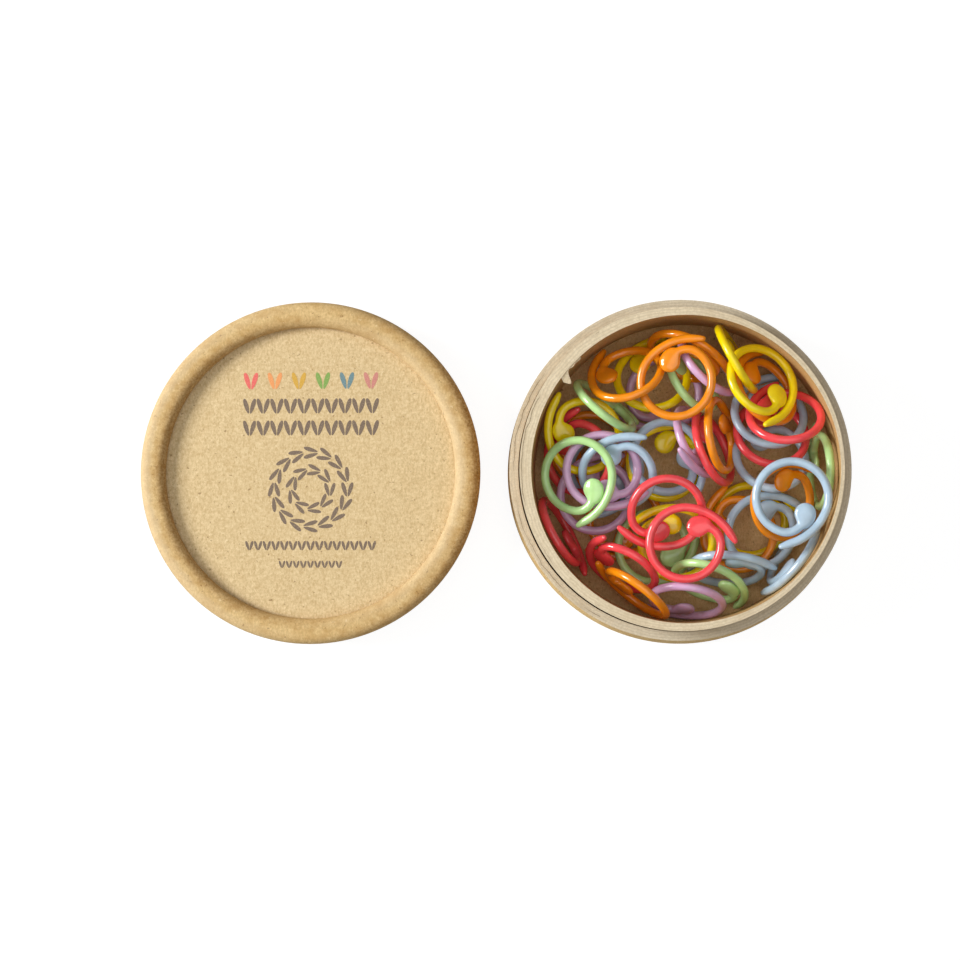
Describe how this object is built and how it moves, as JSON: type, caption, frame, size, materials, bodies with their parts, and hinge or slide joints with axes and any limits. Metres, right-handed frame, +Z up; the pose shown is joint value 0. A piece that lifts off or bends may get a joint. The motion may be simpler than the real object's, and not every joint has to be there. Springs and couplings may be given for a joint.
{
  "type": "stitch marker set in a box",
  "caption": "Round kraft paper box with a neck sleeve and a lift-off lid beside it, holding a heap of open-ring coated wire stitch markers that end in a small round pad.",
  "frame": {"origin": "on the table, midway between the box and its lid", "axes": "+X from the lid to the box, +Y away from the viewer, +Z up"},
  "size_m": [0.1286, 0.062, 0.0207],
  "materials": {
    "kraft": "matte kraft paper",
    "kraft_inside": "matte kraft paper",
    "raw_board": "matte grey board with a raw cut edge",
    "card": "matte printed kraft card",
    "red_coat": "glossy coating on wire",
    "orange_coat": "glossy coating on wire",
    "yellow_coat": "glossy coating on wire",
    "green_coat": "glossy coating on wire",
    "blue_coat": "glossy coating on wire",
    "lavender_coat": "glossy coating on wire"
  },
  "bodies": {
    "box": {"base_tube": "kraft", "base_floor": "kraft_inside", "neck_sleeve": "raw_board", "marker_blue_1": "blue_coat", "marker_blue_2": "blue_coat", "marker_red_1": "red_coat", "marker_orange_1": "orange_coat", "marker_orange_2": "orange_coat", "marker_green_1": "green_coat", "marker_orange_3": "orange_coat", "marker_red_2": "red_coat", "marker_blue_3": "blue_coat", "marker_blue_4": "blue_coat", "marker_lavender_1": "lavender_coat", "marker_yellow_1": "yellow_coat", "marker_red_3": "red_coat", "marker_green_2": "green_coat", "marker_green_3": "green_coat", "marker_yellow_2": "yellow_coat", "marker_blue_5": "blue_coat", "marker_red_4": "red_coat", "marker_yellow_3": "yellow_coat", "marker_orange_4": "orange_coat", "marker_yellow_4": "yellow_coat", "marker_lavender_2": "lavender_coat", "marker_orange_5": "orange_coat", "marker_lavender_3": "lavender_coat", "marker_blue_6": "blue_coat", "marker_yellow_5": "yellow_coat", "marker_blue_7": "blue_coat", "marker_orange_6": "orange_coat", "marker_lavender_4": "lavender_coat", "marker_orange_7": "orange_coat", "marker_red_5": "red_coat", "marker_lavender_5": "lavender_coat", "marker_yellow_6": "yellow_coat", "marker_orange_9": "orange_coat", "marker_blue_8": "blue_coat", "marker_red_6": "red_coat", "marker_green_4": "green_coat", "marker_yellow_7": "yellow_coat", "marker_lavender_6": "lavender_coat", "marker_red_8": "red_coat", "marker_orange_10": "orange_coat", "marker_green_6": "green_coat"},
    "lid": {"lid_tube": "kraft", "lid_disc": "card"},
    "marker_orange_8": {"marker_orange_8": "orange_coat"},
    "marker_red_7": {"marker_red_7": "red_coat"},
    "marker_green_5": {"marker_green_5": "green_coat"},
    "marker_blue_9": {"marker_blue_9": "blue_coat"}
  },
  "joints": [
    {"name": "lid_lift", "type": "slide", "parent": "box", "child": "lid", "axis": [0, 0, 1], "range_m": [0, 0.04]},
    {"name": "marker_orange_8_lift", "type": "slide", "parent": "box", "child": "marker_orange_8", "axis": [0, 0, 1], "range_m": [0, 0.03]},
    {"name": "marker_red_7_lift", "type": "slide", "parent": "box", "child": "marker_red_7", "axis": [0, 0, 1], "range_m": [0, 0.03]},
    {"name": "marker_green_5_lift", "type": "slide", "parent": "box", "child": "marker_green_5", "axis": [0, 0, 1], "range_m": [0, 0.03]},
    {"name": "marker_blue_9_lift", "type": "slide", "parent": "box", "child": "marker_blue_9", "axis": [0, 0, 1], "range_m": [0, 0.03]}
  ]
}
